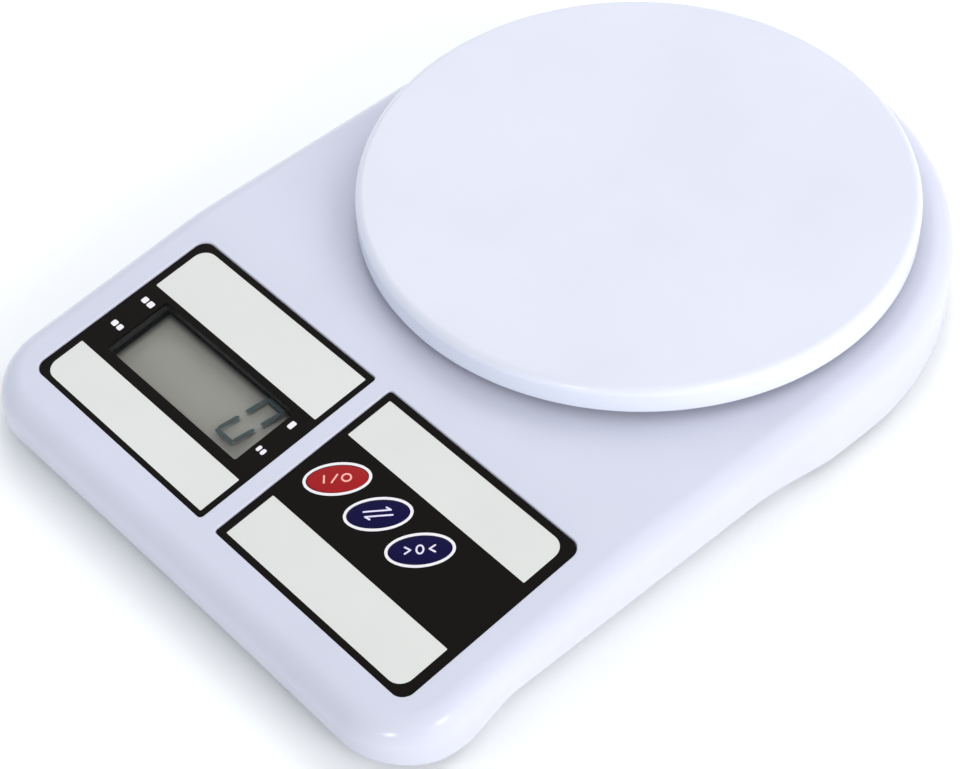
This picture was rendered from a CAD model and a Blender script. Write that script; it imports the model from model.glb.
import bpy, bmesh, math
import numpy as np
from mathutils import Vector, Matrix
from mathutils.geometry import tessellate_polygon


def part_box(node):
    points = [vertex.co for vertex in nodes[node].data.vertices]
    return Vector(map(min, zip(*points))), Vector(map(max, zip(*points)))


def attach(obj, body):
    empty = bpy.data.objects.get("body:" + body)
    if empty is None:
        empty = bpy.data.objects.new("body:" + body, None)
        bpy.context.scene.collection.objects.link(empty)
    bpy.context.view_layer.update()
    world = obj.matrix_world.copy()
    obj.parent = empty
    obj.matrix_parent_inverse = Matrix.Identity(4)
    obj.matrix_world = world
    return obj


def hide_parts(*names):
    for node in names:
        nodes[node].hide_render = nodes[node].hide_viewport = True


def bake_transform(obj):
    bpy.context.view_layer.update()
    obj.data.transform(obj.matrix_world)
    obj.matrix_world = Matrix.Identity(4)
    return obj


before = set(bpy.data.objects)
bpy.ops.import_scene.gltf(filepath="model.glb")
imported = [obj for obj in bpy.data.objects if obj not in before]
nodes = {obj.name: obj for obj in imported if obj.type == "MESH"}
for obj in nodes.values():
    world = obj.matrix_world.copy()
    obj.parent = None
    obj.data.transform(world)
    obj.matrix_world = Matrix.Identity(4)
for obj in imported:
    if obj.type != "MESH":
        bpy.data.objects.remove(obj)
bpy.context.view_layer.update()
MM = 0.001


def box_mm(node):
    lo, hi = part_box(node)
    return [c / MM for c in lo], [c / MM for c in hi]


# ---------------------------------------------------------------- driving sizes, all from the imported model
th_lo, th_hi = box_mm("top_housing")
wp_lo, wp_hi = box_mm("weighing_platform")
HW = th_hi[0]
FRONT = th_lo[1]
CY = (wp_lo[1] + wp_hi[1]) / 2
SKIRT = th_lo[2]
DECK = th_hi[2] - 1.6          # the spill collar stands 1.6 mm above the deck
PLATE_R = wp_hi[0]
PLATE_TOP = wp_hi[2]
PLATE_RIM = wp_lo[2]
EDGE_R = 6.5
CORNER_R = 20.0
WALL = 2.2
SLOPE = 0.12
BREAK_Y = -46.0
TH = math.atan(SLOPE)
CO, SI = math.cos(TH), math.sin(TH)
POCKET = 0.8
FILM = 0.3


def deck_pt(u, v, w):
    """A point given on the sloping control deck: u across, v up the slope, w out of it (mm)."""
    return (u, BREAK_Y + v * CO - w * SI, DECK + v * SI + w * CO)


# ---------------------------------------------------------------- mesh helpers (all in mm)
def make(name, verts, faces, mat=None, body=None, smooth=True, angle=32, mats=None, face_mats=None, weighted=True, merge=1e-5):
    me = bpy.data.meshes.new(name)
    me.from_pydata([tuple(c * MM for c in v) for v in verts], [], [tuple(f) for f in faces])
    bm = bmesh.new()
    bm.from_mesh(me)
    if face_mats is not None:
        for f, m in zip(bm.faces, face_mats):
            f.material_index = m
    bmesh.ops.remove_doubles(bm, verts=bm.verts, dist=merge * MM)
    bmesh.ops.recalc_face_normals(bm, faces=bm.faces)
    bm.to_mesh(me)
    bm.free()
    ob = bpy.data.objects.new(name, me)
    bpy.context.scene.collection.objects.link(ob)
    for m in (mats or ([mat] if mat else [])):
        me.materials.append(m)
    if smooth:
        soften(ob, angle, weighted)
    if body:
        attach(ob, body)
    return ob


def soften(ob, angle=32, weighted=True):
    me = ob.data
    me.polygons.foreach_set("use_smooth", [True] * len(me.polygons))
    bm = bmesh.new()
    bm.from_mesh(me)
    lim = math.radians(angle)
    for e in bm.edges:
        e.smooth = not (len(e.link_faces) == 2 and e.calc_face_angle(0.0) > lim)
    bm.to_mesh(me)
    bm.free()
    if weighted:
        m = ob.modifiers.new("weighted", "WEIGHTED_NORMAL")
        m.mode = "FACE_AREA"
        m.weight = 80
        m.keep_sharp = True


def grid_rings(rings, closed=True, cap0=True, cap1=True):
    """Skins a list of equal-length closed rings of 3-D points. Returns verts, faces."""
    n = len(rings[0])
    verts = [p for r in rings for p in r]
    faces = []
    for k in range(len(rings) - 1):
        for i in range(n):
            j = (i + 1) % n
            faces.append((k * n + i, k * n + j, (k + 1) * n + j, (k + 1) * n + i))
    if cap0:
        faces.append(tuple(range(n - 1, -1, -1)))
    if cap1:
        faces.append(tuple((len(rings) - 1) * n + i for i in range(n)))
    return verts, faces


def arc(cx, cy, r, a0, a1, n):
    return [(cx + r * math.cos(math.radians(a0 + (a1 - a0) * i / n)), cy + r * math.sin(math.radians(a0 + (a1 - a0) * i / n))) for i in range(n + 1)]


def rr(x0, x1, y0, y1, rl, rr_, n=10):
    """Rounded rectangle as a function of the inset: left corners rl, right corners rr_."""
    def f(i):
        a, b, c, d = x0 + i, x1 - i, y0 + i, y1 - i
        p, q = max(rl - i, 0.02), max(rr_ - i, 0.02)
        return (arc(b - q, d - q, q, 0, 90, n) + arc(a + p, d - p, p, 90, 180, n)
                + arc(a + p, c + p, p, 180, 270, n) + arc(b - q, c + q, q, 270, 360, n))
    return f


def ell(cx, cy, a, b, tilt, n=96):
    t = math.radians(tilt)
    def f(i):
        out = []
        for k in range(n):
            s = 2 * math.pi * k / n
            x, y = (a - i) * math.cos(s), (b - i) * math.sin(s)
            out.append((cx + x * math.cos(t) - y * math.sin(t), cy + x * math.sin(t) + y * math.cos(t)))
        return out
    return f


def circ(cx, cy, r, n=96):
    def f(i):
        return [(cx + (r - i) * math.cos(2 * math.pi * k / n), cy + (r - i) * math.sin(2 * math.pi * k / n)) for k in range(n)]
    return f


def flat(x, y, z):
    return (x, y, z)


def fillet_steps(r, n):
    """(inset, drop) from the side wall to the top face of a rolled edge."""
    return [(r * (1 - math.cos(math.radians(90 * k / n))), r * (1 - math.sin(math.radians(90 * k / n)))) for k in range(n + 1)]


def slab(name, loop, w0, w1, mat, body, to=deck_pt, r_top=0.0, r_bot=0.0, seg=4, dome=0.0, angle=32, dome_rings=10, centre=None):
    """Closed plate between w0 and w1 over a loop, with rolled edges and an optional domed top."""
    rings = []
    if r_bot > 0:
        for ins, drop in reversed(fillet_steps(r_bot, seg)):
            rings.append([to(x, y, w0 + drop) for x, y in loop(ins)])
    else:
        rings.append([to(x, y, w0) for x, y in loop(0)])
    if r_top > 0:
        for ins, drop in fillet_steps(r_top, seg):
            rings.append([to(x, y, w1 - drop) for x, y in loop(ins)])
    else:
        rings.append([to(x, y, w1) for x, y in loop(0)])
    if dome > 0:
        edge = loop(r_top)
        cx, cy = centre
        for k in range(1, dome_rings):
            s = 1 - k / dome_rings
            rings.append([to(cx + (x - cx) * s, cy + (y - cy) * s, w1 + dome * (1 - s * s)) for x, y in edge])
        n = len(edge)
        v, f = grid_rings(rings, cap1=False)
        v.append(to(cx, cy, w1 + dome))
        base = (len(rings) - 1) * n
        f += [(base + i, base + (i + 1) % n, len(v) - 1) for i in range(n)]
    else:
        v, f = grid_rings(rings)
    return make(name, v, f, mat, body, angle=angle)


def sheet(loops, w0, w1, to, r=0.0, seg=2):
    """Closed plate with holes: loops[0] is the outer loop function, the rest are holes (insets are negative for them)."""
    verts, faces = [], []
    tops, bots = [], []
    for k, lf in enumerate(loops):
        sgn = 1 if k == 0 else -1
        rings = [[to(x, y, w0) for x, y in lf(0)]]
        if r > 0:
            for ins, drop in fillet_steps(r, seg):
                rings.append([to(x, y, w1 - drop) for x, y in lf(sgn * ins)])
        else:
            rings.append([to(x, y, w1) for x, y in lf(0)])
        base = len(verts)
        v, f = grid_rings(rings, cap0=False, cap1=False)
        verts += v
        faces += [tuple(base + i for i in q) for q in f]
        n = len(rings[0])
        bots.append([base + i for i in range(n)])
        tops.append([base + (len(rings) - 1) * n + i for i in range(n)])
        lf2 = lf(sgn * r if r > 0 else 0)
        loops2d = (lf(0), lf2)
        if k == 0:
            flat_b, flat_t = [], []
        flat_b.append([Vector((x, y, 0)) for x, y in loops2d[0]])
        flat_t.append([Vector((x, y, 0)) for x, y in loops2d[1]])
    for fl, idx in ((flat_b, bots), (flat_t, tops)):
        ids = [i for loop in idx for i in loop]
        for tri in tessellate_polygon(fl):
            faces.append(tuple(ids[i] for i in tri))
    return verts, faces


def merge_parts(parts):
    verts, faces = [], []
    for v, f in parts:
        b = len(verts)
        verts += v
        faces += [tuple(b + i for i in q) for q in f]
    return verts, faces


def lathe(profile, cx, cy, n=128, closed=True):
    """Turns a closed (r, z) profile about the vertical axis at cx, cy. r = 0 points become one vertex."""
    verts, faces, rows = [], [], []
    for r, z in profile:
        if r < 1e-6:
            rows.append([len(verts)] * n)
            verts.append((cx, cy, z))
        else:
            rows.append([len(verts) + i for i in range(n)])
            verts += [(cx + r * math.cos(2 * math.pi * i / n), cy + r * math.sin(2 * math.pi * i / n), z) for i in range(n)]
    m = len(rows)
    for k in range(m if closed else m - 1):
        a, b = rows[k], rows[(k + 1) % m]
        for i in range(n):
            j = (i + 1) % n
            q = []
            for t in (a[i], a[j], b[j], b[i]):
                if t not in q:
                    q.append(t)
            if len(q) > 2:
                faces.append(tuple(q))
    return verts, faces


def apply_mods(ob):
    dg = bpy.context.evaluated_depsgraph_get()
    dg.update()
    me = bpy.data.meshes.new_from_object(ob.evaluated_get(dg))
    old = ob.data
    ob.modifiers.clear()
    ob.data = me
    me.name = ob.name
    bpy.data.meshes.remove(old)


def boolean(ob, cutter, op="DIFFERENCE"):
    m = ob.modifiers.new("b", "BOOLEAN")
    m.operation = op
    m.solver = "EXACT"
    m.object = cutter
    apply_mods(ob)
    me = cutter.data
    bpy.data.objects.remove(cutter)
    bpy.data.meshes.remove(me)


def raw(name, vf):
    return make(name, vf[0], vf[1], smooth=False)


# ---------------------------------------------------------------- materials
def nt(name):
    m = bpy.data.materials.new(name)
    m.use_nodes = True
    t = m.node_tree
    bsdf = t.nodes.get("Principled BSDF")
    return m, t, bsdf


def lin(c):
    return tuple(((x / 255) / 12.92 if x / 255 <= 0.04045 else (((x / 255) + 0.055) / 1.055) ** 2.4) for x in c) + (1.0,)


def tex(t, kind, scale, detail=4.0, rough=0.5, vec=None, **kw):
    n = t.nodes.new(kind)
    if "Scale" in n.inputs:
        n.inputs["Scale"].default_value = scale
    if "Detail" in n.inputs:
        n.inputs["Detail"].default_value = detail
    if "Roughness" in n.inputs:
        n.inputs["Roughness"].default_value = rough
    for k, v in kw.items():
        setattr(n, k, v)
    if vec is not None:
        t.links.new(vec, n.inputs["Vector"])
    return n


def ramp(t, src, stops):
    r = t.nodes.new("ShaderNodeMapRange")
    a, b, c, d = stops
    r.inputs["From Min"].default_value = a
    r.inputs["From Max"].default_value = b
    r.inputs["To Min"].default_value = c
    r.inputs["To Max"].default_value = d
    t.links.new(src, r.inputs["Value"])
    return r.outputs["Result"]


def mixc(t, fac, a, b):
    m = t.nodes.new("ShaderNodeMix")
    m.data_type = "RGBA"
    m.inputs[6].default_value = a
    m.inputs[7].default_value = b
    if isinstance(fac, float):
        m.inputs[0].default_value = fac
    else:
        t.links.new(fac, m.inputs[0])
    return m


def plastic(name, col, rough=0.33, var=0.02, grain=0.02, grain_mm=0.25, coat=0.0, spec=0.5, smudge=0.06, orange=0.0, dirt=0.0, sss=0.0):
    """Moulded plastic: fine skin, slow colour drift, handling marks in the roughness and edge grime."""
    m, t, b = nt(name)
    co = t.nodes.new("ShaderNodeTexCoord").outputs["Object"]
    base = lin(col)
    slow = tex(t, "ShaderNodeTexNoise", 22, 3, 0.5, co)
    dark = tuple(c * (1 - var * 2.2) for c in base[:3]) + (1,)
    mx = mixc(t, ramp(t, slow.outputs["Fac"], (0.35, 0.7, 0, 1)), base, dark)
    out = mx.outputs[2]
    if dirt > 0:
        ao = t.nodes.new("ShaderNodeAmbientOcclusion")
        ao.inputs["Distance"].default_value = 0.004
        ao.samples = 6
        m2 = mixc(t, ramp(t, ao.outputs["AO"], (0.25, 0.8, dirt, 0.0)), base, tuple(c * 0.62 for c in base[:3]) + (1,))
        t.links.new(out, m2.inputs[6])
        out = m2.outputs[2]
    t.links.new(out, b.inputs["Base Color"])
    hand = tex(t, "ShaderNodeTexNoise", 55, 6, 0.62, co)
    t.links.new(ramp(t, hand.outputs["Fac"], (0.3, 0.75, rough - smudge * 0.5, rough + smudge)), b.inputs["Roughness"])
    b.inputs["Specular IOR Level"].default_value = spec
    if coat:
        b.inputs["Coat Weight"].default_value = coat
        b.inputs["Coat Roughness"].default_value = 0.08
    if sss:
        b.inputs["Subsurface Weight"].default_value = sss
        b.inputs["Subsurface Radius"].default_value = (1, 1, 1)
        b.inputs["Subsurface Scale"].default_value = 0.0012
    g = tex(t, "ShaderNodeTexNoise", 1000.0 / grain_mm * 0.5, 3, 0.6, co)
    bump = t.nodes.new("ShaderNodeBump")
    bump.inputs["Strength"].default_value = grain
    bump.inputs["Distance"].default_value = grain_mm * MM * 0.35
    t.links.new(g.outputs["Fac"], bump.inputs["Height"])
    last = bump
    if orange:
        o = tex(t, "ShaderNodeTexNoise", 140, 2, 0.4, co)
        b2 = t.nodes.new("ShaderNodeBump")
        b2.inputs["Strength"].default_value = orange
        b2.inputs["Distance"].default_value = 0.0002
        t.links.new(o.outputs["Fac"], b2.inputs["Height"])
        t.links.new(bump.outputs["Normal"], b2.inputs["Normal"])
        last = b2
    t.links.new(last.outputs["Normal"], b.inputs["Normal"])
    return m


def metal(name, col, rough=0.3, brush=(1, 40, 1), aniso=0.3, scale=900):
    m, t, b = nt(name)
    co = t.nodes.new("ShaderNodeTexCoord").outputs["Object"]
    mp = t.nodes.new("ShaderNodeMapping")
    mp.inputs["Scale"].default_value = brush
    t.links.new(co, mp.inputs["Vector"])
    n = tex(t, "ShaderNodeTexNoise", scale, 4, 0.6, mp.outputs["Vector"])
    big = tex(t, "ShaderNodeTexNoise", 120, 5, 0.6, co)
    base = lin(col)
    mx = mixc(t, ramp(t, big.outputs["Fac"], (0.3, 0.7, 0, 1)), base, tuple(c * 0.82 for c in base[:3]) + (1,))
    t.links.new(mx.outputs[2], b.inputs["Base Color"])
    b.inputs["Metallic"].default_value = 1.0
    t.links.new(ramp(t, n.outputs["Fac"], (0.3, 0.7, rough * 0.8, rough * 1.35)), b.inputs["Roughness"])
    bump = t.nodes.new("ShaderNodeBump")
    bump.inputs["Strength"].default_value = 0.12
    bump.inputs["Distance"].default_value = 0.00004
    t.links.new(n.outputs["Fac"], bump.inputs["Height"])
    t.links.new(bump.outputs["Normal"], b.inputs["Normal"])
    return m


def rubber(name, col, rough=0.75):
    m = plastic(name, col, rough=rough, var=0.05, grain=0.5, grain_mm=0.35, spec=0.25, smudge=0.1, dirt=0.0)
    return m


def clear(name, tint=(0.985, 0.985, 0.985), gloss=0.5):
    """Clear pane: passes light straight through, with a thin surface reflection and faint wiping haze."""
    m, t, b = nt(name)
    out = t.nodes["Material Output"]
    t.nodes.remove(b)
    tr = t.nodes.new("ShaderNodeBsdfTransparent")
    tr.inputs["Color"].default_value = tint + (1,)
    gl = t.nodes.new("ShaderNodeBsdfGlossy")
    co = t.nodes.new("ShaderNodeTexCoord").outputs["Object"]
    n = tex(t, "ShaderNodeTexNoise", 70, 5, 0.6, co)
    t.links.new(ramp(t, n.outputs["Fac"], (0.3, 0.7, 0.06, 0.14)), gl.inputs["Roughness"])
    fr = t.nodes.new("ShaderNodeFresnel")
    fr.inputs["IOR"].default_value = 1.33
    sc = t.nodes.new("ShaderNodeMath")
    sc.operation = "MULTIPLY"
    sc.inputs[1].default_value = gloss
    t.links.new(fr.outputs["Fac"], sc.inputs[0])
    # rays aren't bent by the pane, so only its outer faces may reflect
    one = t.nodes.new("ShaderNodeMath")
    one.operation = "SUBTRACT"
    one.inputs[0].default_value = 1.0
    t.links.new(t.nodes.new("ShaderNodeNewGeometry").outputs["Backfacing"], one.inputs[1])
    front = t.nodes.new("ShaderNodeMath")
    front.operation = "MULTIPLY"
    t.links.new(sc.outputs["Value"], front.inputs[0])
    t.links.new(one.outputs["Value"], front.inputs[1])
    mx = t.nodes.new("ShaderNodeMixShader")
    t.links.new(front.outputs["Value"], mx.inputs["Fac"])
    t.links.new(tr.outputs["BSDF"], mx.inputs[1])
    t.links.new(gl.outputs["BSDF"], mx.inputs[2])
    t.links.new(mx.outputs["Shader"], out.inputs["Surface"])
    return m


M = {}
M["shell"] = plastic("housing_white", (203, 204, 219), rough=0.2, grain=0.05, grain_mm=0.3, smudge=0.06, orange=0.015)
M["platform"] = plastic("platform_white", (214, 215, 227), rough=0.2, grain=0.04, grain_mm=0.25, smudge=0.06, orange=0.015)
def lighter_sides(mat, col):
    """Faces that stand upright take the second colour; the top keeps the first."""
    t = mat.node_tree
    b = next(n for n in t.nodes if n.type == "BSDF_PRINCIPLED")
    src = b.inputs["Base Color"].links[0].from_socket
    sep = t.nodes.new("ShaderNodeSeparateXYZ")
    t.links.new(t.nodes.new("ShaderNodeNewGeometry").outputs["True Normal"], sep.inputs[0])
    mx = mixc(t, ramp(t, sep.outputs["Z"], (0.35, 0.95, 1.0, 0.0)), (1, 1, 1, 1), lin(col))
    t.links.new(src, mx.inputs[6])
    t.links.new(mx.outputs[2], b.inputs["Base Color"])


lighter_sides(M["platform"], (222, 226, 240))
M["base"] = plastic("base_white", (203, 204, 217), rough=0.5, grain=0.3, grain_mm=0.6, smudge=0.06, dirt=0.25)
M["support"] = plastic("support_white", (208, 209, 220), rough=0.45, grain=0.3, grain_mm=0.3, dirt=0.2)
M["film_black"] = plastic("overlay_black", (12, 8, 5), rough=0.36, grain=0.12, grain_mm=0.12, spec=0.11, smudge=0.08, orange=0.03)
M["film_grey"] = plastic("overlay_print_grey", (214, 214, 210), rough=0.36, grain=0.12, grain_mm=0.12, spec=0.2, smudge=0.06, orange=0.03)
M["film_white"] = plastic("overlay_print_white", (232, 228, 232), rough=0.36, grain=0.12, grain_mm=0.12, spec=0.2, smudge=0.06)
M["red"] = plastic("key_red", (160, 17, 22), rough=0.32, grain=0.15, grain_mm=0.12, spec=0.2, smudge=0.08, var=0.06, orange=0.03)
M["blue"] = plastic("key_blue", (9, 2, 60), rough=0.32, grain=0.15, grain_mm=0.12, spec=0.12, smudge=0.08, var=0.08, orange=0.03)
M["symbol_red"] = plastic("key_print_pink", (250, 176, 160), rough=0.4, grain=0.1, grain_mm=0.12)
M["symbol_white"] = plastic("key_print_white", (226, 218, 246), rough=0.4, grain=0.1, grain_mm=0.12)
M["frame_dark"] = plastic("frame_dark", (34, 34, 36), rough=0.5, grain=0.3, grain_mm=0.25, spec=0.3)
M["lcd_back"] = plastic("lcd_reflector_grey", (159, 157, 151), rough=0.42, grain=0.08, grain_mm=0.3, var=0.02, spec=0.3)
M["lcd_mask"] = plastic("lcd_mask_dark", (24, 25, 25), rough=0.6, grain=0.0, var=0.01, spec=0.1)
M["segment"] = plastic("lcd_segment", (54, 69, 71), rough=0.4, grain=0.05, grain_mm=0.1)
M["seg_shadow"] = plastic("lcd_segment_shadow", (124, 126, 121), rough=0.5, grain=0.05, grain_mm=0.1)
M["clear"] = clear("window_clear")
M["lcd_clear"] = clear("lcd_glass_clear", tint=(0.97, 0.968, 0.962), gloss=0.3)
M["rubber"] = rubber("foot_rubber", (66, 66, 69))
M["steel"] = metal("screw_steel", (190, 191, 196), rough=0.36)
M["zinc"] = metal("bracket_steel", (182, 185, 192), rough=0.38)
M["alu"] = metal("cell_aluminium", (200, 202, 206), rough=0.38, brush=(1, 6, 1))
M["nickel"] = metal("contact_nickel", (205, 203, 196), rough=0.36)
M["gauge"] = plastic("gauge_cover", (232, 228, 206), rough=0.4, grain=0.3, grain_mm=0.6)
M["pcb"] = plastic("pcb_green", (22, 92, 52), rough=0.36, grain=0.3, grain_mm=0.5, var=0.08)
M["chip"] = plastic("chip_black", (26, 26, 28), rough=0.45, grain=0.2)
M["comp"] = plastic("component_tan", (150, 128, 96), rough=0.4, grain=0.2)
M["plunger"] = plastic("plunger_black", (30, 30, 32), rough=0.5, grain=0.2)
M["zebra"] = rubber("zebra_grey", (88, 86, 86), 0.6)
M["jacket"] = plastic("cell_jacket", (74, 82, 98), rough=0.36, grain=0.1)
M["cable"] = rubber("cable_grey", (190, 190, 184), 0.5)
M["lead_red"] = rubber("lead_red", (176, 30, 30), 0.5)
M["lead_black"] = rubber("lead_black", (34, 34, 36), 0.5)
M["label"] = plastic("label_silver", (214, 217, 221), rough=0.4, grain=0.1, grain_mm=0.2, var=0.02)

# ---------------------------------------------------------------- upper shell
def outline(i):
    """Plan of the housing at an inset, counter-clockwise from the right side of the round back."""
    p = arc(0, CY, HW - i, 0, 180, 144)
    p += arc(-(HW - CORNER_R), FRONT + CORNER_R, CORNER_R - i, 180, 270, 28)
    p += arc(HW - CORNER_R, FRONT + CORNER_R, CORNER_R - i, 270, 360, 28)
    return p


def sag(y):
    """How far the deck lies below its flat rear part: level, then a soft bend of 12 mm, then the straight slope."""
    a = 6.0
    d = BREAK_Y - y
    if d <= -a:
        return 0.0
    if d >= a:
        return -SLOPE * d
    return -SLOPE * (d + a) ** 2 / (4 * a)


def bend_z(y, z):
    s = sag(y)
    z0 = DECK - EDGE_R
    return z + s if z >= z0 else SKIRT + (z - SKIRT) * (z0 + s - SKIRT) / (z0 - SKIRT)


rings = []
wi = WALL
for ins, z in [(wi, SKIRT + 0.35), (wi - 0.1, SKIRT + 0.1), (wi - 0.35, SKIRT), (0.5, SKIRT), (0.15, SKIRT + 0.15), (0, SKIRT + 0.5)]:
    rings.append((ins, z))
for k in range(1, 4):
    rings.append((0, SKIRT + 0.5 + (DECK - EDGE_R - SKIRT - 0.5) * k / 4))
for ins, drop in fillet_steps(EDGE_R, 14):
    rings.append((ins, DECK - drop))
outer = [[(x, y, z) for x, y in outline(i)] for i, z in rings]
inner_r = [(wi, DECK - EDGE_R)] + [(wi + i, DECK - wi - d) for i, d in fillet_steps(EDGE_R - wi, 8)][1:]
inner = [[(x, y, z) for x, y in outline(i)] for i, z in inner_r]
order = list(reversed(inner)) + outer           # deck underside, down the inside, round the skirt, up the outside, deck top
shell = raw("top_housing_shell", grid_rings(order))


def prism(loop, rows):
    """Cutter or adder from rows of (inset, z)."""
    return grid_rings([[(x, y, z) for x, y in loop(i)] for i, z in rows])


def y_of(v, w=-0.5):
    return BREAK_Y + v * CO - w * SI


PV0, PV1 = -64.16, -6.14
PU, PG = 72.5, 2.8
flare = [(-0.15 - 0.3 * (1 - math.cos(math.radians(a))), DECK - 0.3 + 0.3 * math.sin(math.radians(a))) for a in (0, 20, 40, 60, 80)]
for s, (rl, rr_) in ((-1, (3.5, 1.0)), (1, (1.0, 3.5))):
    x0, x1 = (-PU, -PG) if s < 0 else (PG, PU)
    loop = rr(x0, x1, y_of(PV0), y_of(PV1), rl, rr_, 12)
    boolean(shell, raw("cut", prism(loop, [(-0.15, DECK - POCKET)] + flare + [(-1.2, DECK + 1.2)])))
WU0, WU1, WV0, WV1 = -63.3, -10.3, -46.9, -27.0
boolean(shell, raw("cut", prism(rr(WU0, WU1, y_of(WV0, -1.5), y_of(WV1, -1.5), 0.6, 0.6, 4), [(-1.7, DECK - 8), (-1.7, DECK + 3)])))
KU, KV, KP, KA, KB, KT = 13.3, -33.14, 15.4, 7.75, 4.05, 48.0
for k in range(3):
    boolean(shell, raw("cut", prism(ell(KU + k * KP, y_of(KV, -1.5), KA, KB, KT), [(-0.32, DECK - 8), (-0.32, DECK + 3)])))
HR = 23.0
boolean(shell, raw("add", prism(circ(0, CY, HR + 2.4, 128), [(0, DECK - 1), (0, DECK + 1.1), (0.1, DECK + 1.35), (0.28, DECK + 1.53), (0.5, DECK + 1.6)])), "UNION")
boolean(shell, raw("cut", prism(circ(0, CY, HR, 128), [(0, DECK - 6), (0, DECK + 1.25), (-0.09, DECK + 1.45), (-0.3, DECK + 1.62), (-0.7, DECK + 2)])))

# extra cross lines where the deck bends, then bend it
bm = bmesh.new()
bm.from_mesh(shell.data)
ys = [BREAK_Y + d for d in np.arange(-6, 6.01, 1.0)] + [-64.0, -76, -88, -100]
for y in ys:
    bmesh.ops.bisect_plane(bm, geom=list(bm.verts) + list(bm.edges) + list(bm.faces), dist=1e-7, plane_co=(0, y * MM, 0), plane_no=(0, 1, 0))
for v in bm.verts:
    v.co.z = bend_z(v.co.y / MM, v.co.z / MM) * MM
bm.to_mesh(shell.data)
bm.free()

# raised skirt edge along each side, with eased corners, cut after the bend
ARCH = 9.6
FRONT_Z = 6.5


def arch_loop(n=20):
    """Raised skirt edge along a side: a quick rise behind the front corner and a slow fall towards the back."""
    lift = lambda t: SKIRT - 0.4 + (ARCH - SKIRT + 0.4) * (1 - math.cos(math.pi * t)) / 2
    pts = [(-104, SKIRT - 2)] + [(-104 + 20 * k / n, lift(k / n)) for k in range(n + 1)]
    return pts + [(34 - 40 * k / n, lift(k / n)) for k in range(n, -1, -1)] + [(34, SKIRT - 2)]


def bow_loop():
    """Slightly raised skirt edge along the front, as x and z."""
    bow = [(84.5, -0.07), (83, 0.14), (80, 0.35), (76, 0.52), (70, 0.62), (60, 0.72), (40, 0.86), (20, 0.97)]
    half = [(x, SKIRT + (FRONT_Z - SKIRT) * k) for x, k in bow]
    return ([(-86, SKIRT - 2), (-86, SKIRT - 0.4)] + [(-x, z) for x, z in half] + [(0, FRONT_Z)]
            + [(x, z) for x, z in reversed(half)] + [(86, SKIRT - 0.4), (86, SKIRT - 2)])


al = arch_loop()
for s in (-1, 1):
    v = [(s * x, y, z) for x in (HW - 9, HW + 5) for y, z in al]
    n = len(al)
    f = [(i, (i + 1) % n, n + (i + 1) % n, n + i) for i in range(n)] + [tuple(range(n - 1, -1, -1)), tuple(range(n, 2 * n))]
    boolean(shell, raw("cut", (v, f)))
bl = bow_loop()
n = len(bl)
boolean(shell, raw("cut", ([(x, y, z) for y in (FRONT - 11.5, FRONT + 18.5) for x, z in bl],
                           [(i, (i + 1) % n, n + (i + 1) % n, n + i) for i in range(n)] + [tuple(range(n - 1, -1, -1)), tuple(range(n, 2 * n))])))
# screw bosses under the deck
for node_name in ("housing_screws",):
    co = np.array([v.co for v in nodes[node_name].data.vertices]) / MM
    cen = []
    for c in co[:, :2]:
        for q in cen:
            if np.hypot(*(c - q[0])) < 8:
                q[1].append(c)
                break
        else:
            cen.append((c.copy(), [c]))
    cen = [np.array(q[1]) for q in cen]
    cen = [((q.min(0) + q.max(0)) / 2) for q in cen]
for c in cen:
    top = DECK + sag(c[1]) - 1.0
    boolean(shell, raw("add", prism(circ(c[0], c[1], 3.6, 40), [(0, 8.35), (0, top)])), "UNION")
    boolean(shell, raw("cut", prism(circ(c[0], c[1], 1.5, 24), [(0, 7.0), (0, 14.7)])))
for u in (-71, -1.5, 57):
    for v_ in (-53, -27):
        pts = lambda r, n=32: [(u + r * math.cos(2 * math.pi * i / n), v_ + r * math.sin(2 * math.pi * i / n)) for i in range(n)]
        boolean(shell, raw("add", grid_rings([[deck_pt(x, y, w) for x, y in pts(2.5)] for w in (-8.15, -1.5)])), "UNION")
        boolean(shell, raw("cut", grid_rings([[deck_pt(x, y, w) for x, y in pts(1.05, 20)] for w in (-9.5, -3.2)])))
bm = bmesh.new()
bm.from_mesh(shell.data)
bmesh.ops.remove_doubles(bm, verts=bm.verts, dist=2e-6)
bmesh.ops.dissolve_degenerate(bm, dist=1e-6, edges=bm.edges)
bm.to_mesh(shell.data)
bm.free()
shell.data.materials.clear()
shell.data.materials.append(M["shell"])
soften(shell, 30)
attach(shell, "housing")
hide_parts("top_housing")

# ---------------------------------------------------------------- platform
R = PLATE_R
SKIN = PLATE_TOP - 2.2
prof = [(0, PLATE_TOP)]
for r in (20, 40, 60, 68):
    prof.append((r, PLATE_TOP))
prof += [(R - d, PLATE_TOP - i) for i, d in [(dr, ins) for ins, dr in reversed(fillet_steps(2.4, 12))]]
prof += [(R, PLATE_RIM + 2.5), (R, PLATE_RIM + 0.5), (R - 0.15, PLATE_RIM + 0.15), (R - 0.5, PLATE_RIM), (R - 2.0, PLATE_RIM), (R - 2.3, PLATE_RIM + 0.12), (R - 2.4, PLATE_RIM + 0.4)]
prof += [(R - 2.4, SKIN - 0.6), (R - 2.6, SKIN - 0.2), (R - 3.0, SKIN)]
prof += [(58.6, SKIN), (58.1, SKIN - 0.3), (58, SKIN - 0.8), (58, SKIN - 3.4), (57.8, SKIN - 3.6), (56.6, SKIN - 3.6), (56.4, SKIN - 3.4), (56.4, SKIN)]
prof += [(30, SKIN), (0, SKIN)]
plate = make("weighing_platform_dish", *lathe(prof, 0, CY, 192), smooth=False)
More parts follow.
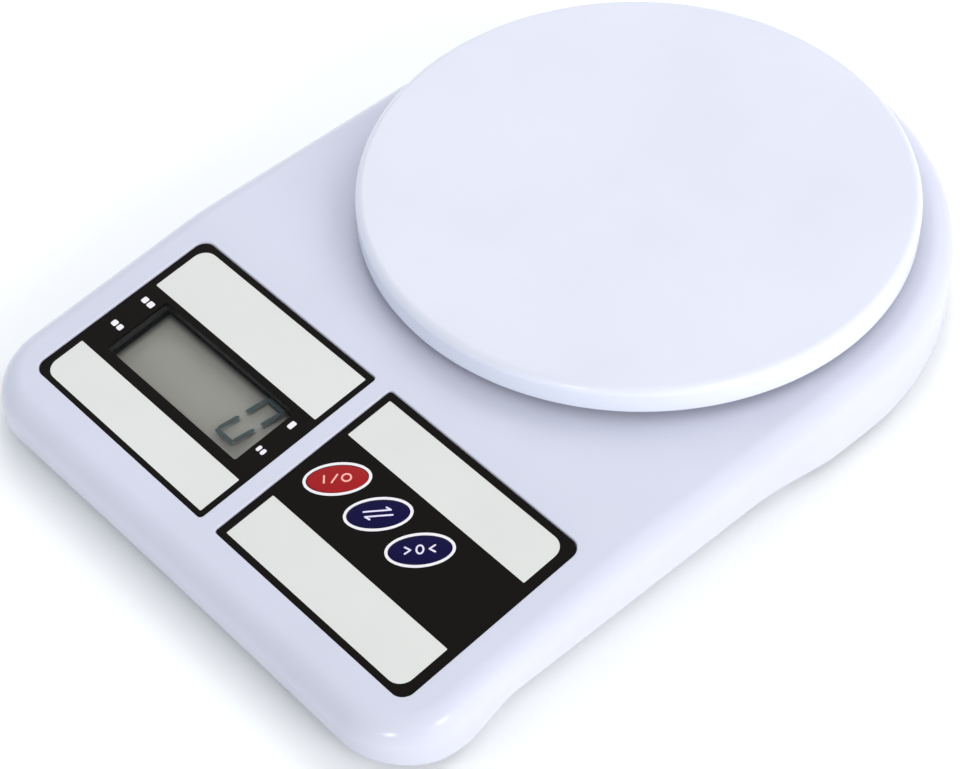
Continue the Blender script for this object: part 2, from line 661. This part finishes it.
for k in range(12):
    a = math.radians(30 * k)
    ca, sa = math.cos(a), math.sin(a)
    pts = []
    for r, t in ((57.2, -0.7), (R - 1.6, -0.7), (R - 1.6, 0.7), (57.2, 0.7)):
        pts.append((r * ca - t * sa, r * sa + t * ca))
    boolean(plate, raw("add", grid_rings([[(x, CY + y, z) for x, y in pts] for z in (SKIN - 2.8, SKIN + 0.8)])), "UNION")
plate.data.materials.clear()
plate.data.materials.append(M["platform"])
soften(plate, 34)
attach(plate, "platform")
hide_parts("weighing_platform")

# ---------------------------------------------------------------- printed films
W1 = -POCKET + FILM
film_l = make("display_overlay_film", *sheet([rr(-PU, -PG, PV0, PV1, 3.5, 1.0, 12), rr(WU0, WU1, WV0, WV1, 0.6, 0.6, 6)], -POCKET, W1, deck_pt, r=0.06), mat=M["film_black"], body="housing")
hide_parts("display_overlay")
film_r = make("keypad_overlay_film", *sheet([rr(PG, PU, PV0, PV1, 1.0, 3.5, 12)] + [ell(KU + k * KP, KV, KA + 0.15, KB + 0.15, KT) for k in range(3)], -POCKET, W1, deck_pt, r=0.06), mat=M["film_black"], body="housing")
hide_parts("keypad_overlay")

P0, P1 = W1 + 0.004, W1 + 0.03


def loops_slab(loop, w0, w1, r=0.0, seg=2, to=deck_pt):
    rings = [[to(x, y, w0) for x, y in loop(0)]]
    if r:
        rings += [[to(x, y, w1 - d) for x, y in loop(i)] for i, d in fillet_steps(r, seg)]
    else:
        rings.append([to(x, y, w1) for x, y in loop(0)])
    return grid_rings(rings)


def rr4(x0, x1, y0, y1, ra, rb, rc, rd, n=8):
    """Rounded rectangle with its own radius at (+,+), (-,+), (-,-), (+,-)."""
    def f(i):
        a, b, c, d = x0 + i, x1 - i, y0 + i, y1 - i
        q = [max(r - i, 0.02) for r in (ra, rb, rc, rd)]
        return (arc(b - q[0], d - q[0], q[0], 0, 90, n) + arc(a + q[1], d - q[1], q[1], 90, 180, n)
                + arc(a + q[2], c + q[2], q[2], 180, 270, n) + arc(b - q[3], c + q[3], q[3], 270, 360, n))
    return f


strips = [
    rr4(-70.1, -4.7, -25.08, -8.0, 0.3, 4.0, 0.3, 0.3),
    rr4(-70.1, -4.7, -62.6, -50.06, 0.3, 0.3, 4.0, 0.3),
]
ob = make("display_overlay_strips", *merge_parts([loops_slab(l, P0, P1, 0.015) for l in strips]), mat=M["film_grey"], body="housing")
strips = [
    rr4(5.0, 69.3, -22.46, -8.3, 4.0, 0.3, 0.3, 0.3),
    rr4(5.2, 69.5, -62.3, -47.24, 0.3, 0.3, 0.3, 4.0),
]
ob = make("keypad_overlay_strips", *merge_parts([loops_slab(l, P0, P1, 0.015) for l in strips]), mat=M["film_grey"], body="housing")
# white rings round the keys
parts = []
for k in range(3):
    parts.append(sheet([ell(KU + k * KP, KV, KA + 0.95, KB + 0.95, KT), ell(KU + k * KP, KV, KA + 0.17, KB + 0.17, KT)], P0, P1, deck_pt))
ob = make("keypad_overlay_rings", *merge_parts(parts), mat=M["film_white"], body="housing")
# small index marks beside the display
marks = []
def mark(u0, u1, v0, v1):
    marks.append(loops_slab(rr(u0, u1, v0, v1, 0.45, 0.45, 4), P0, P1))
mark(-69.2, -67.4, -31.2, -29.3); mark(-66.9, -64.9, -31.2, -29.3)
mark(-69.2, -67.4, -41.4, -39.6); mark(-66.9, -65.2, -41.4, -39.6)
mark(-8.6, -7.0, -31.4, -29.0)
mark(-9.0, -7.9, -41.4, -39.6); mark(-7.4, -6.2, -41.4, -39.6)
ob = make("display_overlay_marks", *merge_parts(marks), mat=M["film_white"], body="housing")

# ---------------------------------------------------------------- keys
KW = W1 + 0.2
def place(loop, k):
    """Turns a symbol drawn along +x into the key's own long axis."""
    t = math.radians(KT)
    cx, cy = KU + k * KP, KV
    def f(i):
        return [(cx + x * math.cos(t) - y * math.sin(t), cy + x * math.sin(t) + y * math.cos(t)) for x, y in loop(i)]
    return f


DOME = 0.12
def key_top(u, v, k):
    """Height of the domed cap at a point."""
    t = math.radians(KT)
    x, y = u - (KU + k * KP), v - KV
    a, b = x * math.cos(t) + y * math.sin(t), -x * math.sin(t) + y * math.cos(t)
    s2 = min(1.0, (a / (KA - 0.35)) ** 2 + (b / (KB - 0.35)) ** 2)
    return KW - 0.0 + DOME * (1 - s2)


def on_key(k, lift):
    def to(u, v, w):
        return deck_pt(u, v, key_top(u, v, k) + w + lift)
    return to


def arc_band(cx, cy, r, w, a0, a1, n=24):
    def f(i):
        return arc(cx, cy, r + w / 2 - i, a0, a1, n) + arc(cx, cy, r - w / 2 + i, a1, a0, n)
    return f


def symbol(k, shapes, mat, body, name):
    parts = []
    for s in shapes:
        if s[0] == "ring":
            _, cx, cy, rx, ry, w = s
            outer_l = lambda i, cx=cx, cy=cy, rx=rx, ry=ry, w=w: [(cx + (rx + w / 2) * math.cos(2 * math.pi * j / 40), cy + (ry + w / 2) * math.sin(2 * math.pi * j / 40)) for j in range(40)]
            inner_l = lambda i, cx=cx, cy=cy, rx=rx, ry=ry, w=w: [(cx + (rx - w / 2) * math.cos(2 * math.pi * j / 40), cy + (ry - w / 2) * math.sin(2 * math.pi * j / 40)) for j in range(40)]
            parts.append(sheet([place(outer_l, k), place(inner_l, k)], 0.0, 0.02, on_key(k, 0.004)))
        else:
            # a thin bar with round ends, in short steps so that it follows the crown of the key
            p, q, w = Vector(s[1][0]), Vector(s[1][1]), s[1][2]
            d = (q - p).normalized()
            n_ = Vector((-d.y, d.x))
            span = (q - p).length
            stations = [(-w / 2 * math.cos(math.radians(a)), math.sin(math.radians(a))) for a in (12, 30, 50, 70, 90)]
            steps = max(2, int(span / 0.4))
            stations += [(span * j / steps, 1.0) for j in range(1, steps)]
            stations += [(span + w / 2 * math.cos(math.radians(a)), math.sin(math.radians(a))) for a in (90, 70, 50, 30, 12)]
            rings = []
            for t_, h in stations:
                c = p + d * t_
                l, r = c + n_ * (h * w / 2), c - n_ * (h * w / 2)
                (lx, ly), (rx_, ry_) = place(lambda i, pts=[(l.x, l.y), (r.x, r.y)]: pts, k)(0)
                f = on_key(k, 0.004)
                rings.append([f(lx, ly, 0.0), f(rx_, ry_, 0.0), f(rx_, ry_, 0.02), f(lx, ly, 0.02)])
            parts.append(grid_rings(rings))
    ob = make(name, *merge_parts(parts), mat=mat, body=body, angle=50)
    return ob


keys = [("power", M["red"], "key_red"), ("mode", M["blue"], "key_blue"), ("tare", M["blue"], "key_blue")]
for k, (nm, mat, slot) in enumerate(keys):
    body = nm + "_key"
    c = (KU + k * KP, KV)
    cap = slab(nm + "_button_cap", ell(c[0], c[1], KA, KB, KT), -WALL - 0.1, KW, mat, body, r_top=0.35, seg=5, dome=DOME, centre=c)
    flange = slab(nm + "_button_flange", ell(c[0], c[1], KA + 1.2, KB + 1.2, KT), -WALL - 1.1, -WALL - 0.1, mat, body, r_top=0.15, r_bot=0.15, seg=2)
    stem = slab(nm + "_button_stem", circ(c[0], c[1], 1.5, 40), -4.6, -WALL - 1.1, mat, body, r_bot=0.2, seg=2)
    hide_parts(nm + "_button")
sw = 0.46
ob = symbol(0, [("bar", ((-3.3, -1.05), (-3.3, 1.05), sw)), ("bar", ((-1.35, -1.15), (0.05, 1.15), sw)), ("ring", 2.35, 0, 1.15, 1.1, sw)], M["symbol_red"], "power_key", "power_button_symbol")
ob = symbol(1, [("bar", ((-3.6, 0.75), (3.2, 0.75), sw)), ("bar", ((3.2, 0.75), (2.1, 1.6), sw)),
                ("bar", ((3.6, -0.75), (-3.2, -0.75), sw)), ("bar", ((-3.2, -0.75), (-2.1, -1.6), sw))], M["symbol_white"], "mode_key", "mode_button_symbol")
ob = symbol(2, [("ring", 0, 0, 0.85, 1.2, sw), ("bar", ((-3.7, 0.95), (-2.3, 0.0), sw)), ("bar", ((-3.7, -0.95), (-2.3, 0.0), sw)),
                ("bar", ((3.7, 0.95), (2.3, 0.0), sw)), ("bar", ((3.7, -0.95), (2.3, 0.0), sw))], M["symbol_white"], "tare_key", "tare_button_symbol")

# ---------------------------------------------------------------- display
def shade_edges(mat, x0, y1, fx, fy, dark):
    """The reflector falls into the shade of the frame: darker towards its left and rear edges, over fx and fy millimetres."""
    t = mat.node_tree
    b = next(n for n in t.nodes if n.type == "BSDF_PRINCIPLED")
    src = b.inputs["Base Color"].links[0].from_socket
    co = t.nodes.new("ShaderNodeTexCoord").outputs["Object"]
    sep = t.nodes.new("ShaderNodeSeparateXYZ")
    t.links.new(co, sep.inputs[0])
    fac = []
    for axis, a, b_ in (("X", x0, x0 + fx), ("Y", y1, y1 - fy)):
        mr = t.nodes.new("ShaderNodeMapRange")
        mr.interpolation_type = "SMOOTHSTEP"
        mr.inputs["From Min"].default_value = a * MM
        mr.inputs["From Max"].default_value = b_ * MM
        t.links.new(sep.outputs[axis], mr.inputs["Value"])
        fac.append(mr.outputs["Result"])
    mul = t.nodes.new("ShaderNodeMath")
    mul.operation = "MULTIPLY"
    t.links.new(fac[0], mul.inputs[0])
    t.links.new(fac[1], mul.inputs[1])
    mx = mixc(t, mul.outputs["Value"], lin(dark), (1, 1, 1, 1))
    t.links.new(src, mx.inputs[7])
    t.links.new(mx.outputs[2], b.inputs["Base Color"])


LW0, LW1 = -WALL - 2.95, -WALL - 1.15
pane = slab("display_window_pane", rr(WU0 - 1.5, WU1 + 1.5, WV0 - 1.5, WV1 + 1.5, 0.6, 0.6, 4), -POCKET - 0.62, -POCKET - 0.02, M["clear"], "housing", r_top=0.08, seg=2)
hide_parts("display_window")
glass = slab("lcd_glass_plate", rr(-66.3, -7.3, -49.7, -24.5, 0.3, 0.3, 3), LW0, LW1, M["lcd_clear"], "housing", r_top=0.1, r_bot=0.1, seg=2)
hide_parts("lcd_glass")
back = slab("lcd_reflector_sheet", rr(-66.1, -7.5, -47.6, -24.7, 0.3, 0.3, 3), -WALL - 3.15, -WALL - 2.97, M["lcd_back"], "housing")
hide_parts("lcd_reflector")
ex, ey, ez = deck_pt(WU0, WV1, LW0)
shade_edges(M["lcd_back"], ex - 0.6, ey + 0.4, 3.0, 2.6, (40, 41, 39))


mask = make("lcd_border_print", *sheet([rr(-66.2, -7.4, -49.6, -24.6, 0.3, 0.3, 3), rr(WU0, WU1, WV0, WV1, 0.5, 0.5, 4)], LW0 + 0.03, LW0 + 0.07, deck_pt), mat=M["lcd_mask"], body="housing")


def seven_segment(u0, v0, w, h, t, slant, which, mid=0.85):
    """Segments of one digit as polygons; bars are drawn with mitred ends and small gaps."""
    g = 0.22
    hw_, hh = w / 2, h / 2
    cx, cy = u0 + w / 2, v0 + h / 2
    segs = {}
    def horiz(y):
        x0, x1 = -hw_ + g, hw_ - g
        return [(x0, y), (x0 + t / 2, y + t / 2), (x1 - t / 2, y + t / 2), (x1, y), (x1 - t / 2, y - t / 2), (x0 + t / 2, y - t / 2)]
    def vert(x, y0, y1):
        y0, y1 = y0 + (mid if y0 == 0 else g), y1 - (mid if y1 == 0 else g)
        return [(x, y0), (x + t / 2, y0 + t / 2), (x + t / 2, y1 - t / 2), (x, y1), (x - t / 2, y1 - t / 2), (x - t / 2, y0 + t / 2)]
    segs["a"] = horiz(hh - t / 2 + 0.0)
    segs["g"] = horiz(0)
    segs["d"] = horiz(-hh + t / 2)
    segs["b"] = vert(hw_ - t / 2, 0, hh - t / 2)
    segs["c"] = vert(hw_ - t / 2, -hh + t / 2, 0)
    segs["f"] = vert(-hw_ + t / 2, 0, hh - t / 2)
    segs["e"] = vert(-hw_ + t / 2, -hh + t / 2, 0)
    out = []
    for s in which:
        out.append([(cx + x + slant * y, cy + y) for x, y in segs[s]])
    return out


seg_w = LW0 + 0.05
def seg_piece(name, polys, w0, w1, mat, du=0.0, dv=0.0):
    parts = [grid_rings([[deck_pt(x + du, y + dv, w) for x, y in p] for w in (w0, w1)]) for p in polys]
    ob = make(name, *merge_parts(parts), mat=mat, body="housing", angle=40)
    return ob
digit = seven_segment(-22.75, -43.6, 7.3, 16.3, 1.2, 0.17, "abcdef")
RW = -WALL - 2.97
ob = seg_piece("lcd_digit_segments", digit, LW1 - 0.35, LW1 - 0.30, M["segment"])
ob = seg_piece("lcd_digit_shadow", digit, RW + 0.005, RW + 0.02, M["seg_shadow"], du=-0.1, dv=0.1)

# ---------------------------------------------------------------- carried-over CAD pieces: weld, ease the edges, give each its finish
def ease(o, mat, bevel=0.2, seg=2, angle=38):
    o.data.materials.clear()
    o.data.materials.append(mat)
    for p in o.data.polygons:
        p.material_index = 0
        p.use_smooth = True
    w = o.modifiers.new("weld", "WELD")
    w.merge_threshold = 2e-6
    if bevel:
        b = o.modifiers.new("ease", "BEVEL")
        b.width = bevel * MM
        b.segments = seg
        b.limit_method = "ANGLE"
        b.angle_limit = math.radians(angle)
        b.use_clamp_overlap = True
        b.harden_normals = True
        b.miter_outer = "MITER_ARC"
    n = o.modifiers.new("weighted", "WEIGHTED_NORMAL")
    n.keep_sharp = True
    n.weight = 80


def carry(node, mat, bevel=0.2):
    ease(nodes[node], mat, bevel)


def flexing(node, name, mat, bevel, cuts=()):
    """The CAD piece's own mesh, cut across at the given y and bent between two bodies, for a piece that gives way."""
    src = nodes[node]
    bm = bmesh.new()
    bm.from_mesh(src.data)
    bm.transform(src.matrix_world)
    bmesh.ops.remove_doubles(bm, verts=bm.verts, dist=2e-6)
    for y in cuts:
        bmesh.ops.bisect_plane(bm, geom=bm.verts[:] + bm.edges[:] + bm.faces[:], dist=1e-7, plane_co=(0, y * MM, 0), plane_no=(0, 1, 0))
    bmesh.ops.recalc_face_normals(bm, faces=bm.faces)
    me = bpy.data.meshes.new(name)
    bm.to_mesh(me)
    bm.free()
    o = bpy.data.objects.new(name, me)
    bpy.context.scene.collection.objects.link(o)
    ease(o, mat, bevel)
    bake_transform(o)
    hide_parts(node)


carry("bottom_housing", M["base"], 0.25)
carry("battery_door", M["base"], 0.25)
flexing("battery_door_latch", "battery_door_latch_finger", M["base"], 0.12)
carry("platform_support", M["support"], 0.3)
carry("support_screws", M["steel"], 0.12)
carry("platform_bracket", M["zinc"], 0.2)
carry("bracket_spacer", M["alu"], 0.12)
carry("bracket_screws", M["steel"], 0.1)
flexing("load_cell", "load_cell_beam", M["alu"], 0.3, [CY + d for d in (-7, -3.5, 0, 3.5, 7)])
flexing("strain_gauges", "strain_gauge_covers", M["gauge"], 0.12, [CY + d for d in (-7, 7)])
carry("load_cell_spacer", M["alu"], 0.12)
carry("load_cell_screws", M["steel"], 0.1)
carry("lcd_frame", M["frame_dark"], 0.1)
carry("zebra_strip", M["zebra"], 0.1)
carry("main_pcb", M["pcb"], 0.05)
carry("controller_chip", M["chip"], 0.0)
carry("board_components", M["comp"], 0.08)
carry("tact_switches", M["steel"], 0.15)
carry("pcb_screws", M["steel"], 0.1)
carry("power_switch_plunger", M["plunger"], 0.15)
carry("mode_switch_plunger", M["plunger"], 0.15)
carry("tare_switch_plunger", M["plunger"], 0.15)
carry("battery_cells", M["jacket"], 0.4)
carry("negative_contact", M["nickel"], 0.0)
carry("positive_contact", M["nickel"], 0.05)
carry("bridge_contact", M["nickel"], 0.0)
carry("load_cell_cable", M["cable"], 0.0)
carry("positive_lead", M["lead_red"], 0.0)
carry("negative_lead", M["lead_black"], 0.0)
carry("rubber_feet", M["rubber"], 0.15)
carry("housing_screws", M["steel"], 0.12)
carry("rating_label", M["label"], 0.03)

# grip ribs and an arrow on the battery door, border and rules on the blank label
BZ = box_mm("battery_door")[0][2]
dlo, dhi = box_mm("battery_door")
ribs = []
for k in range(5):
    y = dlo[1] + 7.2 + 1.9 * k
    w = 9.0 - 1.0 * k
    lp = rr(-w, w, y - 0.45, y + 0.45, 0.44, 0.44, 5)
    ribs.append(grid_rings([[(x, yy, z) for x, yy in lp(i)] for i, z in ((0, BZ + 0.3), (0, BZ - 0.18), (0.08, BZ - 0.3), (0.25, BZ - 0.38))]))
ob = make("battery_door_grip", *merge_parts(ribs), mat=M["base"], body="battery_cover", angle=40)
llo, lhi = box_mm("rating_label")
LZ = llo[2]
m_ = 1.6
x0, x1, y0, y1 = llo[0] + m_, lhi[0] - m_, llo[1] + m_, lhi[1] - m_
flat = lambda x, y, w: (x, y, LZ + w)
rules = [sheet([rr(x0, x1, y0, y1, 0.3, 0.3, 3), rr(x0 + 0.35, x1 - 0.35, y0 + 0.35, y1 - 0.35, 0.1, 0.1, 3)], -0.02, 0.02, flat)]
def rule(xa, xb, ya, yb):
    lp = rr(xa, xb, ya, yb, 0.05, 0.05, 2)
    rules.append(grid_rings([[(x, y, z) for x, y in lp(0)] for z in (LZ + 0.02, LZ - 0.02)]))
for k in range(1, 4):
    yy = y0 + (y1 - y0) * k / 4
    rule(x0 + 1.2, x0 + 13, yy - 0.12, yy + 0.12)
    rule(x0 + 15, x1 - 1.2, yy - 0.12, yy + 0.12)
rule(x0 + 13.9, x0 + 14.14, y0 + 1.2, y1 - 1.2)
ob = make("rating_label_rules", *merge_parts(rules), mat=M["chip"], body="housing", angle=40)

# ---------------------------------------------------------------- stage, light, camera
floor_m, t, b = nt("floor")
b.inputs["Base Color"].default_value = (0.95, 0.95, 0.95, 1)
b.inputs["Roughness"].default_value = 0.7
b.inputs["Specular IOR Level"].default_value = 0.1
out = t.nodes["Material Output"]
tr = t.nodes.new("ShaderNodeBsdfTransparent")
mx = t.nodes.new("ShaderNodeMixShader")
# far away the floor fades into the backdrop, so no horizon line shows in low views
em = t.nodes.new("ShaderNodeEmission")
em.inputs["Color"].default_value = (0.905, 0.953, 1.0, 1)
em.inputs["Strength"].default_value = 1.02
dist = t.nodes.new("ShaderNodeVectorMath")
dist.operation = "LENGTH"
t.links.new(t.nodes.new("ShaderNodeTexCoord").outputs["Object"], dist.inputs[0])
fade = t.nodes.new("ShaderNodeMapRange")
fade.interpolation_type = "SMOOTHSTEP"
fade.inputs["From Min"].default_value = 0.9
fade.inputs["From Max"].default_value = 3.2
t.links.new(dist.outputs["Value"], fade.inputs["Value"])
far = t.nodes.new("ShaderNodeMixShader")
t.links.new(fade.outputs["Result"], far.inputs["Fac"])
t.links.new(b.outputs["BSDF"], far.inputs[1])
t.links.new(em.outputs["Emission"], far.inputs[2])
t.links.new(far.outputs["Shader"], mx.inputs[1])
t.links.new(tr.outputs["BSDF"], mx.inputs[2])
t.links.new(mx.outputs["Shader"], out.inputs["Surface"])
me = bpy.data.meshes.new("floor")
S = 6.0
me.from_pydata([(-S, -S, 0), (S, -S, 0), (S, S, 0), (-S, S, 0)], [], [(0, 1, 2, 3)])
floor = bpy.data.objects.new("floor", me)
bpy.context.scene.collection.objects.link(floor)
me.materials.append(floor_m)

world = bpy.data.worlds.new("world")
bpy.context.scene.world = world
world.use_nodes = True
bg = world.node_tree.nodes["Background"]
bg.inputs["Color"].default_value = (0.905, 0.953, 1.0, 1)
# a soft tent: a little brighter at the sides than overhead
wt = world.node_tree
wsep = wt.nodes.new("ShaderNodeSeparateXYZ")
wt.links.new(wt.nodes.new("ShaderNodeTexCoord").outputs["Generated"], wsep.inputs[0])
wmap = wt.nodes.new("ShaderNodeMapRange")
wmap.inputs["From Min"].default_value = 0.0
wmap.inputs["From Max"].default_value = 1.0
wmap.inputs["To Min"].default_value = 1.02
wmap.inputs["To Max"].default_value = 0.73
wt.links.new(wsep.outputs["Z"], wmap.inputs["Value"])
wt.links.new(wmap.outputs["Result"], bg.inputs["Strength"])


def area(name, loc, target, size, power, col=(1, 1, 1), size_y=None):
    l = bpy.data.lights.new(name, "AREA")
    l.shape = "RECTANGLE"
    l.size = size
    l.size_y = size_y or size
    l.energy = power
    l.color = col
    o = bpy.data.objects.new(name, l)
    bpy.context.scene.collection.objects.link(o)
    o.location = loc
    o.rotation_mode = "QUATERNION"
    o.rotation_quaternion = (Vector(target) - Vector(loc)).to_track_quat("-Z", "Y")
    return o


area("key", (1.45, -0.1, 0.55), (0, 0, 0.02), 0.9, 13.5, (1.0, 0.975, 0.93)).visible_glossy = False
area("back_left", (-0.75, 0.6, 0.95), (0, 0.03, 0), 0.7, 4.1, (1.0, 0.985, 0.96)).visible_glossy = False
area("back_right", (0.3, 0.95, 1.1), (0, 0.03, 0), 0.7, 4.0, (1.0, 0.985, 0.96)).visible_glossy = False
# two small studio lamps, seen only as highlights on the rolled edges
for nm, p, L in (("lamp_front", (0.0759, -0.1166, 0.0142), (0.359, -0.821, 0.443)), ("lamp_right", (0.0821, -0.106, 0.0157), (0.824, -0.066, 0.562))):
    o = area(nm, [a + 1.6 * c for a, c in zip(p, L)], p, 0.11, 3.4)
    o.visible_diffuse = False
    o.visible_transmission = False
area("under", (0.5, -0.6, -0.9), (0, 0, 0), 1.0, 1.6)

cam_d = bpy.data.cameras.new("camera")
cam = bpy.data.objects.new("camera", cam_d)
bpy.context.scene.collection.objects.link(cam)
bpy.context.scene.camera = cam
az, el, roll, dist = math.radians(49.205), math.radians(48.033), math.radians(-2.291), 0.62906
backv = Vector((math.sin(az) * math.cos(el), -math.cos(az) * math.cos(el), math.sin(el)))
target = Vector((0.02582, CY * MM - 0.07766, PLATE_TOP * MM))
right = (-backv).cross(Vector((0, 0, 1))).normalized()
up = right.cross(-backv)
r2 = right * math.cos(roll) + up * math.sin(roll)
u2 = -right * math.sin(roll) + up * math.cos(roll)
loc = target + backv * dist
cam.matrix_world = Matrix(((r2.x, u2.x, backv.x, loc.x), (r2.y, u2.y, backv.y, loc.y), (r2.z, u2.z, backv.z, loc.z), (0, 0, 0, 1)))
cam_d.sensor_width = 36.0
cam_d.lens = 2554.26 * 36.0 / 960.0
cam_d.shift_x = (480.0 - 487.27) / 960.0
cam_d.shift_y = (383.965 - 384.5) / 960.0
cam_d.clip_start, cam_d.clip_end = 0.02, 50.0

# the floor lets everything through when the camera is below it, so the underside can be seen and lit
val = t.nodes.new("ShaderNodeMath")
val.operation = "LESS_THAN"
val.inputs[1].default_value = 0.0
zin = t.nodes.new("ShaderNodeValue")
t.links.new(zin.outputs[0], val.inputs[0])
t.links.new(val.outputs[0], mx.inputs["Fac"])
d = zin.outputs[0].driver_add("default_value").driver
d.type = "SUM"
v = d.variables.new()
v.type = "TRANSFORMS"
v.targets[0].id = cam
v.targets[0].transform_type = "LOC_Z"
v.targets[0].transform_space = "WORLD_SPACE"

sc = bpy.context.scene
sc.view_settings.view_transform = "Standard"
sc.view_settings.look = "None"
sc.cycles.use_denoising = True
sc.cycles.sample_clamp_direct = 4.0
sc.cycles.sample_clamp_indirect = 2.0
sc.cycles.max_bounces = 8
sc.cycles.transparent_max_bounces = 12

bpy.context.view_layer.update()
